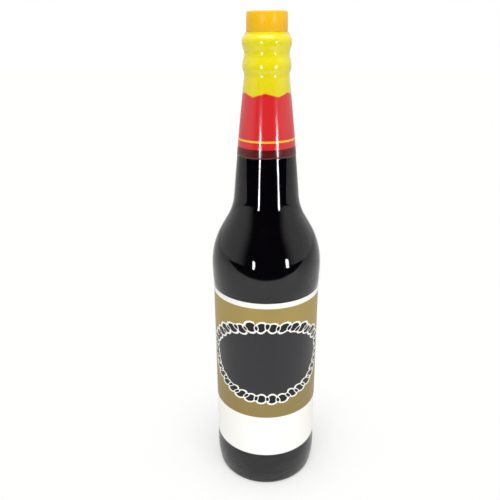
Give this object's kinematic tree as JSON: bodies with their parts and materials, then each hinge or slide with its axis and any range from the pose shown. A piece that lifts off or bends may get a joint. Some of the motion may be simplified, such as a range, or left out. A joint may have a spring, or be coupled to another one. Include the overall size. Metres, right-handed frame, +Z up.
{
  "type": "soy sauce bottle",
  "caption": "Full glass bottle of dark soy sauce with a paper label, a tapered neck in printed shrink film and a small push-on pouring lid.",
  "frame": {"origin": "middle of the foot, on the surface that the bottle stands on", "axes": "+Z up along the bottle, -Y out of the front of the label"},
  "size_m": [0.0716, 0.0716, 0.313],
  "materials": {
    "glass": "clear, polished, faint grey-green",
    "sauce": "liquid, nearly black, red-brown where thin",
    "paper": "coated paper, satin, with gold, dark grey and white fields",
    "collar_plastic": "moulded, glossy yellow",
    "lid_plastic": "moulded, glossy orange-yellow",
    "film": "glossy shrink film, yellow above and red below"
  },
  "bodies": {
    "root": {"bottle": "glass", "sauce": "sauce", "label": "paper", "collar": "collar_plastic", "lid": "lid_plastic", "sleeve": "film"}
  },
  "joints": []
}
